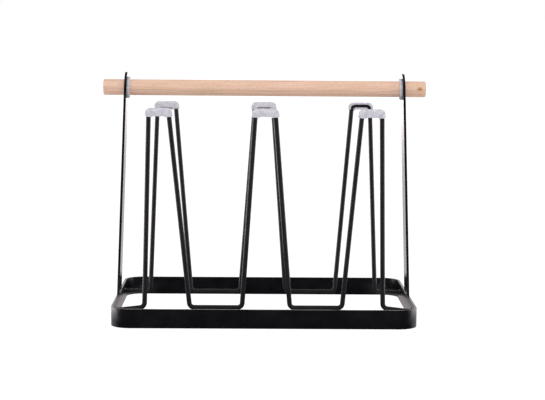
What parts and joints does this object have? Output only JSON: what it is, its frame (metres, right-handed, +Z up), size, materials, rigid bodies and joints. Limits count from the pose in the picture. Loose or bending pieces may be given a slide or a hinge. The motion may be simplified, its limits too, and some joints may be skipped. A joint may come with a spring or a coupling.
{
  "type": "mug tree",
  "caption": "Mug drying rack: bent-wire prongs with soft caps stand in a flat-bar hoop, under a wooden carrying handle between leaning uprights.",
  "frame": {"origin": "middle of the footprint, on the surface that the rack stands on", "axes": "+X along the wooden handle, +Z up, -Y is the front row of prongs"},
  "size_m": [0.306, 0.187, 0.229],
  "materials": {
    "black_paint": "satin black powder coat on mild steel",
    "silicone": "milky translucent silicone",
    "beech": "sanded, unvarnished beech"
  },
  "bodies": {
    "frame": {"base_band": "black_paint", "base_seam_weld": "black_paint", "left_upright": "black_paint", "right_upright": "black_paint", "left_foot_weld": "black_paint", "right_foot_weld": "black_paint", "front_wire": "black_paint", "back_wire": "black_paint", "front_left_end_weld": "black_paint", "front_right_end_weld": "black_paint", "back_left_end_weld": "black_paint", "back_right_end_weld": "black_paint", "left_grommet": "silicone", "right_grommet": "silicone", "front_left_cap": "silicone", "front_middle_cap": "silicone", "front_right_cap": "silicone", "back_left_cap": "silicone", "back_middle_cap": "silicone", "back_right_cap": "silicone"},
    "handle": {"handle_dowel": "beech"}
  },
  "joints": [
    {"name": "handle_turn", "type": "hinge", "parent": "frame", "child": "handle", "pos_m": [0, 0, 0.2144], "axis": [1, 0, 0], "continuous": true}
  ]
}
